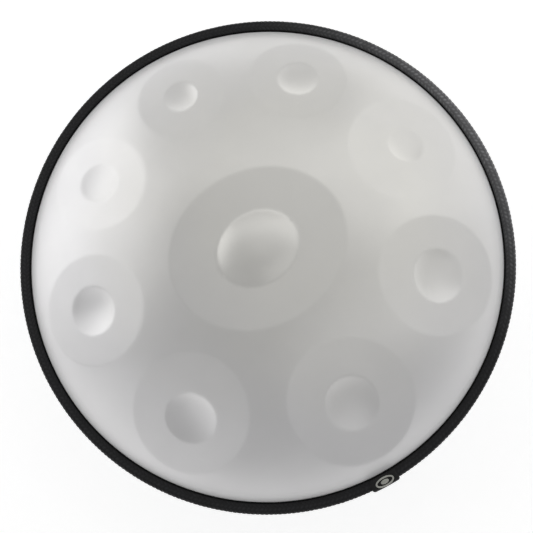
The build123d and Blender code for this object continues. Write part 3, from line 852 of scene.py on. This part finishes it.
# ---------------------------------------------------------------- materials
def coated_steel(name, warm_colour, neutral_colour, worn_foot):
    """Satin light steel: a warmer patch fading into a neutral tint, fine tooth, smudges, dents, and
    painted light towards the trim.
    """
    material, tree, shader = new_material(name)
    where = place(tree)
    split = node(tree, "SeparateXYZ", {"Vector": where})
    flat = node(tree, "CombineXYZ", {"X": split.outputs["X"], "Y": split.outputs["Y"]})
    from_axis = node(tree, "VectorMath", {0: flat.outputs[0]}, operation="LENGTH").outputs["Value"]
    to_patch = {0: flat.outputs[0], 1: WARM_PATCH_CENTRE}
    off_patch = node(tree, "VectorMath", to_patch, operation="DISTANCE")
    drift = remap(tree, noise(tree, where, 9.0), 0.3, 0.7, -0.02, 0.02)
    drift = maths(tree, "ADD", off_patch.outputs["Value"], drift)
    neutral = remap(tree, drift, WARM_PATCH_FROM, WARM_PATCH_TO, 0.0, 1.0)
    colour = mix(tree, neutral, warm_colour, neutral_colour)
    cloud = noise(tree, where, 22.0, 4.0, 0.55)
    colour = brighten(tree, colour, remap(tree, cloud, 0.3, 0.7, 0.985, 1.015))
    grain = noise(tree, where, 2600.0, 2.0)
    colour = brighten(tree, colour, remap(tree, grain, 0.25, 0.75, 0.985, 1.015))

    smudge = noise(tree, where, 14.0, 5.0, 0.6, 0.6)
    roughness = remap(tree, smudge, 0.3, 0.75, STEEL_ROUGHNESS - 0.02, STEEL_ROUGHNESS + 0.03)
    tooth = noise(tree, where, 1500.0, 3.0, 0.6)
    dents = noise(tree, where, 16.0, 2.0, 0.4)
    relief = bump(tree, dents, STEEL_DENT_DEPTH)
    relief = bump(tree, tooth, STEEL_TOOTH_DEPTH, normal=relief)
    if worn_foot:
        low = remap(tree, split.outputs["Z"], FOOT_WEAR_HEIGHT, 0.0, 0.0, 1.0)
        stretched = node(tree, "Mapping", {"Vector": where, "Scale": (1.0, 14.0, 1.0)}).outputs[0]
        scratches = noise(tree, stretched, 60.0)
        worn = maths(tree, "MULTIPLY", low, remap(tree, scratches, 0.4, 0.6, 0.2, 1.0))
        colour = mix(tree, worn, colour, FOOT_WEAR_COLOUR)
        roughness = maths(tree, "MULTIPLY_ADD", worn, FOOT_WEAR_SMOOTHING, roughness)
    # painted light: whiter, less metallic steel near the trim is a painted highlight that hides the
    # trim's reflected shade
    rim_painted_light = remap(tree, from_axis, RIM_PAINTED_LIGHT_FROM, RIM_PAINTED_LIGHT_TO, 0.0, 1.0)
    colour = mix(tree, rim_painted_light, colour, RIM_PAINTED_LIGHT_COLOUR)
    metallic = maths(tree, "MULTIPLY_ADD", rim_painted_light, RIM_PAINTED_LIGHT_METALLIC - STEEL_METALLIC, STEEL_METALLIC)
    plug_in(tree, shader, Base_Color=colour, Metallic=metallic, Roughness=roughness, Normal=relief)
    return material


def rubber(name, shade, roughness, shine, grain_scale, grain_depth):
    """Black rubber with a fine moulded grain and dusty high spots."""
    material, tree, shader = new_material(name)
    where = place(tree)
    dust = noise(tree, where, 130.0, 4.0, 0.6)
    colour = brighten(tree, (shade, shade, shade * 1.02), remap(tree, dust, 0.35, 0.75, 0.8, 1.7))
    grain = noise(tree, where, grain_scale, 2.0)
    gloss = remap(tree, noise(tree, where, 60.0, 3.0), 0.3, 0.7, roughness - 0.05, roughness + 0.07)
    plug_in(
        tree,
        shader,
        Base_Color=colour,
        Roughness=gloss,
        Specular_IOR_Level=shine,
        Normal=bump(tree, grain, grain_depth),
    )
    return material


def braid_fabric():
    """Charcoal yarn: twisted fibres, strands with a painted highlight in their middles and painted shade
    at their edges, and a stretch of painted light.
    """
    material, tree, shader = new_material("braid_yarn")
    strand = node(tree, "TexCoord").outputs["UV"]
    split = node(tree, "SeparateXYZ", {"Vector": strand})
    column = maths(tree, "FLOOR", split.outputs["X"])
    row = maths(tree, "FLOOR", split.outputs["Y"])
    which = node(tree, "CombineXYZ", {"X": column, "Y": row}).outputs[0]
    own_noise = node(tree, "TexWhiteNoise", {"Vector": which}, noise_dimensions="2D")
    own_shade = own_noise.outputs["Value"]
    twist = maths(tree, "MULTIPLY_ADD", split.outputs["X"], FIBRE_SLANT, split.outputs["Y"])
    fibres = maths(tree, "SINE", maths(tree, "MULTIPLY", twist, 2 * math.pi * FIBRES_PER_STRAND))
    fibres = remap(tree, fibres, -1.0, 1.0, 0.0, 1.0)
    where = place(tree)
    fuzz = noise(tree, where, 2400.0, 3.0, 0.7)
    shade = remap(tree, own_shade, 0.0, 1.0, *STRAND_SHADES)
    shade = maths(tree, "MULTIPLY", shade, remap(tree, fibres, 0.0, 1.0, 0.7, 1.15))
    shade = maths(tree, "MULTIPLY", shade, remap(tree, fuzz, 0.3, 0.7, 0.75, 1.3))
    # painted light: each strand is painted lighter in its middle and darker at its edges, a painted
    # highlight on its crown and painted shade where it dives under its neighbours
    on_strand = node(tree, "VectorMath", {0: strand}, operation="FRACTION").outputs["Vector"]
    to_middle = {0: on_strand, 1: (0.5, 0.5, 0.0)}
    from_middle = node(tree, "VectorMath", to_middle, operation="DISTANCE").outputs["Value"]
    shades = (STRAND_EDGE_PAINTED_SHADE, STRAND_MIDDLE_PAINTED_HIGHLIGHT)
    painted_crown_light = ease(tree, from_middle, STRAND_EDGE_FROM, STRAND_MIDDLE_TO, *shades)
    shade = maths(tree, "MULTIPLY", shade, painted_crown_light)

    # painted light: a stretch of the yarn is painted lighter, more so towards the outer edge, a painted
    # highlight standing for lamp light on that side of the braid
    spot = node(tree, "SeparateXYZ", {"Vector": where})
    turn = maths(tree, "ARCTAN2", spot.outputs["Y"], spot.outputs["X"])
    off_middle = maths(tree, "ABSOLUTE", maths(tree, "SUBTRACT", turn, BRAID_PAINTED_LIGHT_MIDDLE))
    in_painted_stretch = ease(tree, off_middle, BRAID_PAINTED_LIGHT_REACH, 0.0)
    flat = node(tree, "CombineXYZ", {"X": spot.outputs["X"], "Y": spot.outputs["Y"]})
    from_axis = node(tree, "VectorMath", {0: flat.outputs[0]}, operation="LENGTH").outputs["Value"]
    painted_light_from = (TRIM_RADIUS - BRAID_PAINTED_LIGHT_FROM) * MM
    painted_light_to = (TRIM_RADIUS - BRAID_PAINTED_LIGHT_TO) * MM
    outwards = remap(tree, from_axis, painted_light_from, painted_light_to, BRAID_PAINTED_LIGHT_LEAST, 1.0)
    painted_light = maths(tree, "MULTIPLY", in_painted_stretch, outwards)
    yarn = mix(tree, painted_light, BRAID_COLOUR, BRAID_PAINTED_LIGHT_COLOUR)
    relief = bump(tree, fibres, 0.00016)
    relief = bump(tree, fuzz, 0.00012, normal=relief)
    plug_in(
        tree,
        shader,
        Base_Color=brighten(tree, yarn, shade),
        Roughness=0.45,
        Specular_IOR_Level=0.32,
        Normal=relief,
    )
    return material


def badge_metal():
    """Satin aluminium with fine brushing along the rim and a few dull spots."""
    material, tree, shader = new_material("satin_aluminium")
    where = place(tree)
    turned = node(tree, "Mapping", {"Vector": where, "Rotation": (0.0, 0.0, -BADGE_ANGLE)})
    stretched = node(tree, "Mapping", {"Vector": turned.outputs[0], "Scale": (1.0, 0.06, 1.0)})
    brushed = noise(tree, stretched.outputs[0], 5200.0)
    dull = noise(tree, where, 300.0, 3.0)
    colour = mix(tree, remap(tree, dull, 0.4, 0.7, 0.0, 1.0), *METAL_COLOURS)
    roughness = remap(tree, brushed, 0.3, 0.7, 0.24, 0.42)
    plug_in(
        tree,
        shader,
        Base_Color=colour,
        Metallic=1.0,
        Roughness=roughness,
        Normal=bump(tree, brushed, 0.00002),
    )
    return material


def cured_glue():
    """Yellowish grey epoxy with small bubbles."""
    material, tree, shader = new_material("cured_epoxy")
    where = place(tree)
    tint = noise(tree, where, 90.0, 4.0)
    bubbles = node(tree, "TexVoronoi", {"Vector": where, "Scale": 900.0}).outputs["Distance"]
    colour = mix(tree, remap(tree, tint, 0.3, 0.7, 0.0, 1.0), *GLUE_COLOURS)
    plug_in(
        tree,
        shader,
        Base_Color=colour,
        Roughness=remap(tree, tint, 0.3, 0.7, 0.3, 0.5),
        Normal=bump(tree, bubbles, 0.00005),
    )
    return material


put_on(top_shell, coated_steel("coated_steel_upper", *UPPER_STEEL_COLOURS, worn_foot=False))
put_on(bottom_shell, coated_steel("coated_steel_lower", *LOWER_STEEL_COLOURS, worn_foot=True))
edge_rubber = rubber(
    "edge_rubber", shade=0.003, roughness=0.75, shine=0.1, grain_scale=1800.0, grain_depth=0.00002
)
put_on(edge_channel, edge_rubber)
put_on(rim_band, braid_fabric())
moulded_rubber = rubber(
    "moulded_rubber", shade=0.006, roughness=0.45, shine=0.3, grain_scale=2400.0, grain_depth=0.00003
)
put_on(badge_sleeve, moulded_rubber)
metal = badge_metal()
put_on(badge_ring, metal)
put_on(badge_boss, metal)
put_on(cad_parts["seam_glue"], cured_glue())


# ---------------------------------------------------------------- stage
def make_floor():
    """Plain white floor, faintly lit from within like a studio light table."""
    mesh = bpy.data.meshes.new("floor")
    half = FLOOR_SIZE / 2
    corners = [(-half, -half, 0), (half, -half, 0), (half, half, 0), (-half, half, 0)]
    mesh.from_pydata(corners, [], [(0, 1, 2, 3)])
    floor = bpy.data.objects.new("floor", mesh)
    bpy.context.scene.collection.objects.link(floor)
    material, tree, shader = new_material("white_floor")
    faint = remap(tree, noise(tree, place(tree), 3.0), 0.3, 0.7, 0.99, 1.0)
    plug_in(
        tree,
        shader,
        Base_Color=brighten(tree, FLOOR_COLOUR, faint),
        Roughness=0.9,
        Specular_IOR_Level=0.1,
        Emission_Color=(1.0, 1.0, 1.0, 1.0),
        Emission_Strength=FLOOR_GLOW,
    )
    put_on(floor, material)


def add_softbox(name, azimuth, elevation, width, height, brightness):
    """Wide soft light that faces the instrument; azimuth 0 is +X and 90 is +Y, in degrees."""
    lamp = bpy.data.lights.new(name, "AREA")
    lamp.shape = "RECTANGLE"
    lamp.size, lamp.size_y = width, height
    lamp.energy = brightness * math.pi * width * height
    light = bpy.data.objects.new(name, lamp)
    turn, lift = math.radians(azimuth), math.radians(elevation)
    reach = math.cos(lift)
    outward = Vector((reach * math.cos(turn), reach * math.sin(turn), math.sin(lift)))
    light.location = Vector((0, 0, RIM_Z * MM)) + outward * SOFTBOX_DISTANCE
    light.rotation_euler = outward.to_track_quat("Z", "Y").to_euler()
    bpy.context.scene.collection.objects.link(light)


def make_world():
    """Even soft grey surroundings."""
    world = bpy.data.worlds.new("studio")
    world.use_nodes = True
    background = world.node_tree.nodes["Background"]
    background.inputs["Color"].default_value = WORLD_COLOUR
    background.inputs["Strength"].default_value = WORLD_STRENGTH
    bpy.context.scene.world = world


def make_camera():
    """Camera almost straight above, tilted a little to one side, with +Y up in its view."""
    camera = bpy.data.objects.new("camera", bpy.data.cameras.new("camera"))
    camera.data.lens = CAMERA_LENS
    camera.data.shift_x, camera.data.shift_y = CAMERA_SHIFT
    lean, turn = math.radians(CAMERA_LEAN), math.radians(CAMERA_AZIMUTH)
    aside = math.sin(lean)
    outward = Vector((aside * math.sin(turn), -aside * math.cos(turn), math.cos(lean)))
    right = Vector((0, 1, 0)).cross(outward).normalized()
    upward = outward.cross(right)
    rotation = Matrix((right, upward, outward)).transposed()
    spot = Vector((0, 0, RIM_Z * MM)) + outward * CAMERA_DISTANCE
    camera.matrix_world = Matrix.Translation(spot) @ rotation.to_4x4()
    bpy.context.scene.collection.objects.link(camera)
    bpy.context.scene.camera = camera


make_floor()
make_world()
for softbox in SOFTBOXES:
    add_softbox(*softbox)
make_camera()
bpy.context.scene.view_settings.view_transform = "Standard"
